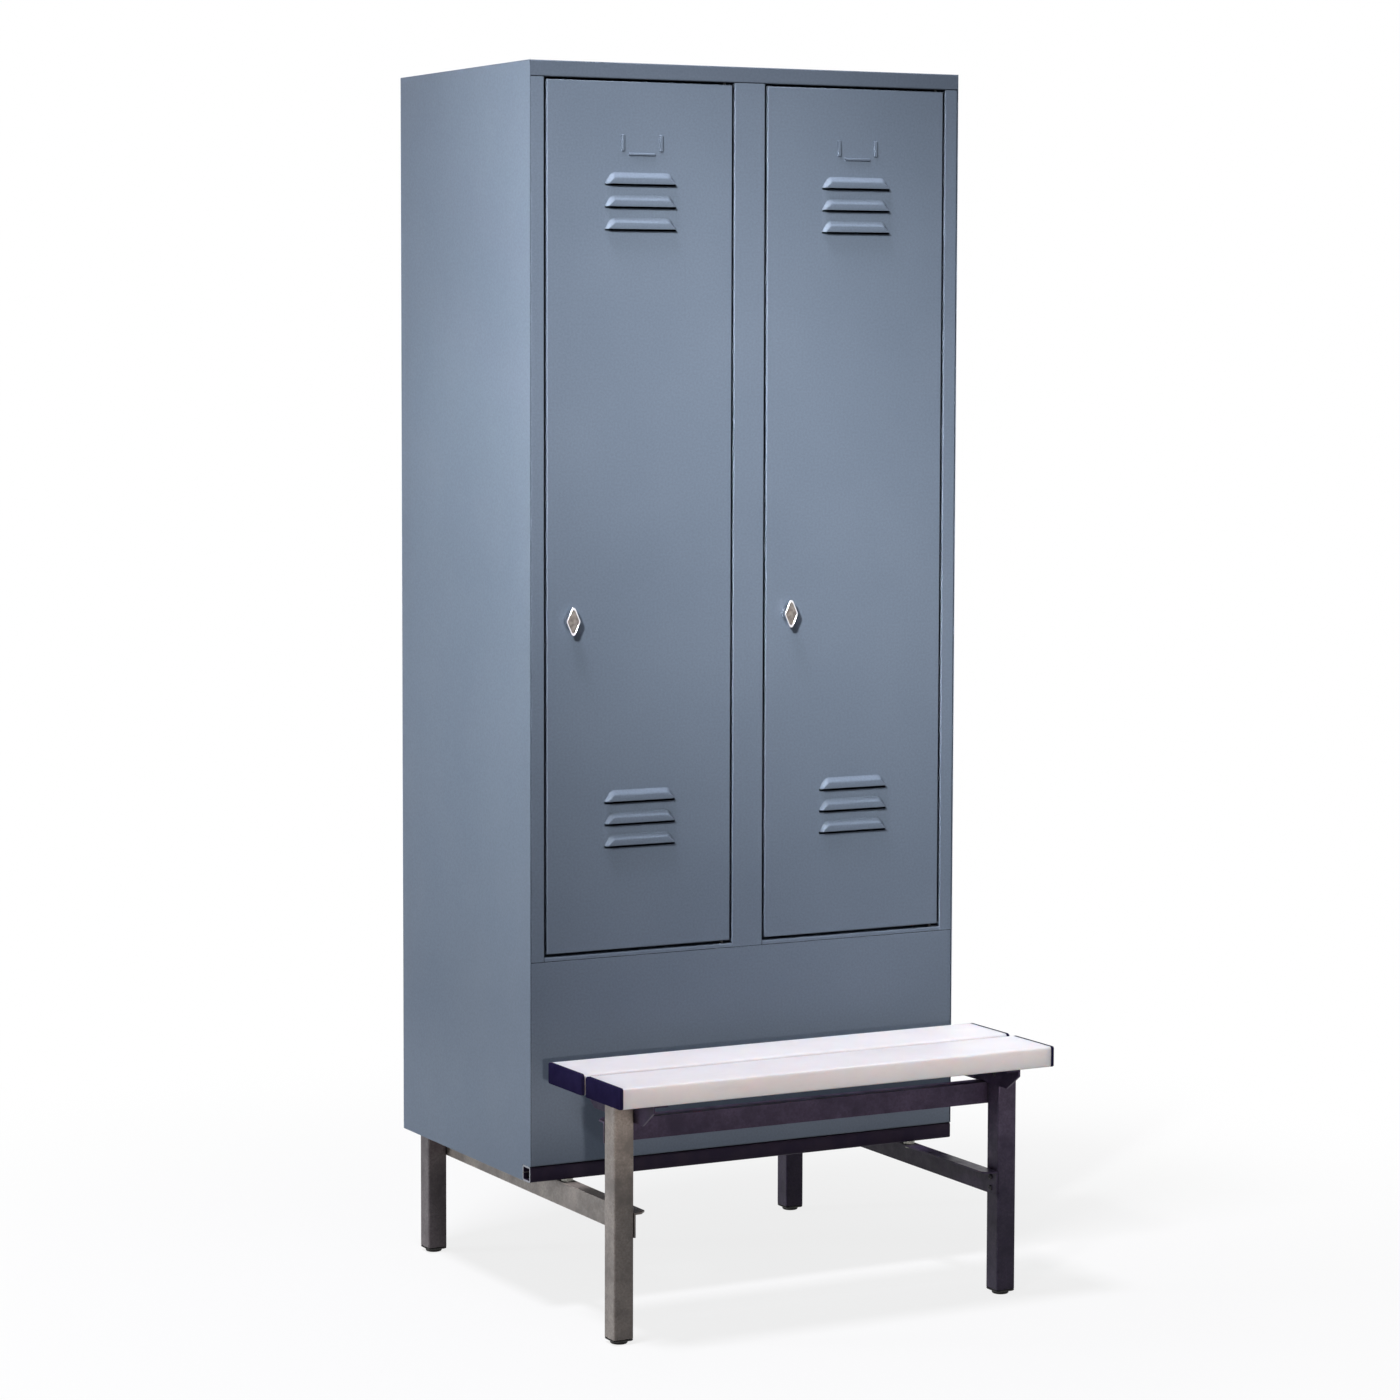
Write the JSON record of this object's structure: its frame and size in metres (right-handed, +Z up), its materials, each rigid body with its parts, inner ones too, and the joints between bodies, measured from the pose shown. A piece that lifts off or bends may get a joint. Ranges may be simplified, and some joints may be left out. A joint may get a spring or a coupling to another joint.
{
  "type": "locker with bench",
  "caption": "Blue-grey steel locker with two tall doors on a dark tube underframe, with a slatted bench in front",
  "frame": {"origin": "on the floor under the middle of the overall bounding box", "axes": "+Z up; the doors face -Y; +X to the right of someone who faces the doors"},
  "size_m": [0.81, 0.815, 2.04],
  "materials": {
    "blue_grey_powder_coat": "satin blue-grey powder coat on sheet steel",
    "blue_grey_inside": "the same powder coat on the inner sheets",
    "dark_grey_powder_coat": "satin dark grey powder coat on tube and angle",
    "black_powder_coat": "satin black powder coat on the folded base rails",
    "cream_plastic": "off-white extruded plastic",
    "navy_plastic": "dark navy moulded end caps",
    "black_plastic": "black moulded feet",
    "chrome": "bright chrome plate on the knobs and coat rails",
    "zinc_plated_steel": "dull zinc plate on bolts, hooks, rods and latch parts"
  },
  "bodies": {
    "cabinet": {"back_panel": "blue_grey_powder_coat", "centre_partition": "blue_grey_inside", "centre_stile": "blue_grey_powder_coat", "floor_panel": "blue_grey_powder_coat", "front_base_rail": "black_powder_coat", "front_left_base_bolt": "zinc_plated_steel", "front_left_foot": "black_plastic", "front_left_leg": "dark_grey_powder_coat", "front_right_base_bolt": "zinc_plated_steel", "front_right_foot": "black_plastic", "front_right_leg": "dark_grey_powder_coat", "front_slat": "cream_plastic", "front_slat_left_cap": "navy_plastic", "front_slat_right_cap": "navy_plastic", "head_rail": "blue_grey_powder_coat", "left_coat_hook_1": "zinc_plated_steel", "left_coat_hook_2": "zinc_plated_steel", "left_coat_rail": "chrome", "left_door_stop": "blue_grey_inside", "left_hat_shelf": "blue_grey_inside", "left_seat_bearer": "dark_grey_powder_coat", "left_side_panel": "blue_grey_powder_coat", "left_stile": "blue_grey_powder_coat", "left_stretcher": "dark_grey_powder_coat", "lower_front_panel": "blue_grey_powder_coat", "rear_base_rail": "black_powder_coat", "rear_cross_rail": "dark_grey_powder_coat", "rear_left_base_bolt": "zinc_plated_steel", "rear_left_foot": "black_plastic", "rear_left_leg": "dark_grey_powder_coat", "rear_right_base_bolt": "zinc_plated_steel", "rear_right_foot": "black_plastic", "rear_right_leg": "dark_grey_powder_coat", "rear_slat": "cream_plastic", "rear_slat_left_cap": "navy_plastic", "rear_slat_right_cap": "navy_plastic", "right_coat_hook_1": "zinc_plated_steel", "right_coat_hook_2": "zinc_plated_steel", "right_coat_rail": "chrome", "right_door_stop": "blue_grey_inside", "right_hat_shelf": "blue_grey_inside", "right_seat_bearer": "dark_grey_powder_coat", "right_side_panel": "blue_grey_powder_coat", "right_stile": "blue_grey_powder_coat", "right_stretcher": "dark_grey_powder_coat", "seat_cross_rail": "dark_grey_powder_coat", "top_panel": "blue_grey_powder_coat"},
    "left_door": {"left_door_skin": "blue_grey_powder_coat", "left_door_stiffener": "blue_grey_inside", "left_hinge_rod": "zinc_plated_steel", "left_latch_housing": "zinc_plated_steel"},
    "right_door": {"right_door_skin": "blue_grey_powder_coat", "right_door_stiffener": "blue_grey_inside", "right_hinge_rod": "zinc_plated_steel", "right_latch_housing": "zinc_plated_steel"},
    "left_knob_body": {"left_knob": "chrome", "left_latch_cam": "zinc_plated_steel"},
    "right_knob_body": {"right_knob": "chrome", "right_latch_cam": "zinc_plated_steel"}
  },
  "joints": [
    {"name": "left_door_hinge", "type": "hinge", "parent": "cabinet", "child": "left_door", "pos_m": [-0.045, -0.0845, 1.3], "axis": [0, 0, 1], "range_deg": [0, 110]},
    {"name": "right_door_hinge", "type": "hinge", "parent": "cabinet", "child": "right_door", "pos_m": [0.363, -0.0845, 1.3], "axis": [0, 0, 1], "range_deg": [0, 110]},
    {"name": "left_knob_turn", "type": "hinge", "parent": "left_door", "child": "left_knob_body", "pos_m": [-0.332, -0.0925, 1.136], "axis": [0, 1, 0], "range_deg": [0, 90]},
    {"name": "right_knob_turn", "type": "hinge", "parent": "right_door", "child": "right_knob_body", "pos_m": [0.076, -0.0925, 1.136], "axis": [0, 1, 0], "range_deg": [0, 90]}
  ]
}
